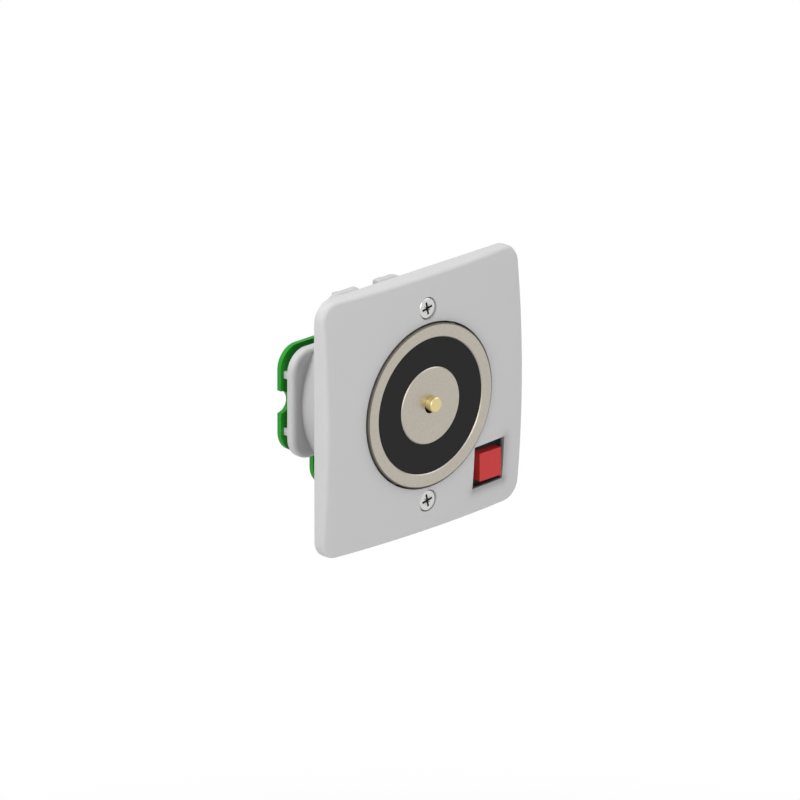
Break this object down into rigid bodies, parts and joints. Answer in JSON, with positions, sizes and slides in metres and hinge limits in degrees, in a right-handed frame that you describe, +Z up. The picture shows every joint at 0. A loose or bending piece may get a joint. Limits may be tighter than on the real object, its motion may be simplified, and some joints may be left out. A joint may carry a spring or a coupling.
{
  "type": "flush electromagnetic door holder",
  "caption": "Wall-flush electromagnet door holder: round pot magnet with ejector pin in a square crowned plate, red release button, circuit board behind.",
  "frame": {"origin": "centre of the face plate's back, on the wall plane, midway between the two box screws", "axes": "+Y into the wall along the magnet's axis and the screws, +X right seen from the door, +Z up"},
  "size_m": [0.08, 0.045, 0.08],
  "materials": {
    "plate_plastic": "moulded, fine satin texture",
    "nickel": "ground steel, nickel plated",
    "resin": "cast black epoxy",
    "brass": "turned, bright",
    "plated_steel": "zinc plated",
    "spring_steel": "drawn wire",
    "copper": "enamelled wire",
    "bobbin_plastic": "moulded, natural",
    "board": "green solder mask on glass-fibre board",
    "terminal_plastic": "moulded, dark green",
    "bezel_plastic": "moulded, black",
    "button_plastic": "moulded, satin red",
    "lead_sleeve": "flexible insulation"
  },
  "bodies": {
    "body": {"face_plate": "plate_plastic", "plate_screws": "plated_steel", "housing": "plate_plastic", "housing_screws": "plated_steel", "magnet_pot": "nickel", "magnet_core": "nickel", "magnet_screws": "plated_steel", "coil_bobbin": "bobbin_plastic", "coil_winding": "copper", "coil_leads": "lead_sleeve", "resin_ring": "resin", "ejector_spring": "spring_steel", "ejector_plug": "brass", "circuit_board": "board", "board_screws": "plated_steel", "terminal_block": "terminal_plastic", "terminal_clamps": "plated_steel", "terminal_screws": "plated_steel", "polarity_diode": "resin", "flyback_diode": "resin", "switch_bezel": "bezel_plastic", "snap_dome": "spring_steel", "button_board": "board", "button_leads": "lead_sleeve"},
    "ejector": {"ejector_pin": "brass"},
    "button": {"button_cap": "button_plastic"}
  },
  "joints": [
    {"name": "ejector_slide", "type": "slide", "parent": "body", "child": "ejector", "axis": [0, 1, 0], "range_m": [0, 0.00235], "stiffness_N_per_m": 1000, "springref_m": -0.003, "deforming": ["ejector_spring"]},
    {"name": "button_press", "type": "slide", "parent": "body", "child": "button", "axis": [0, 1, 0], "range_m": [0, 0.0005], "stiffness_N_per_m": 2000, "springref_m": -0.0002, "deforming": ["snap_dome"]}
  ]
}
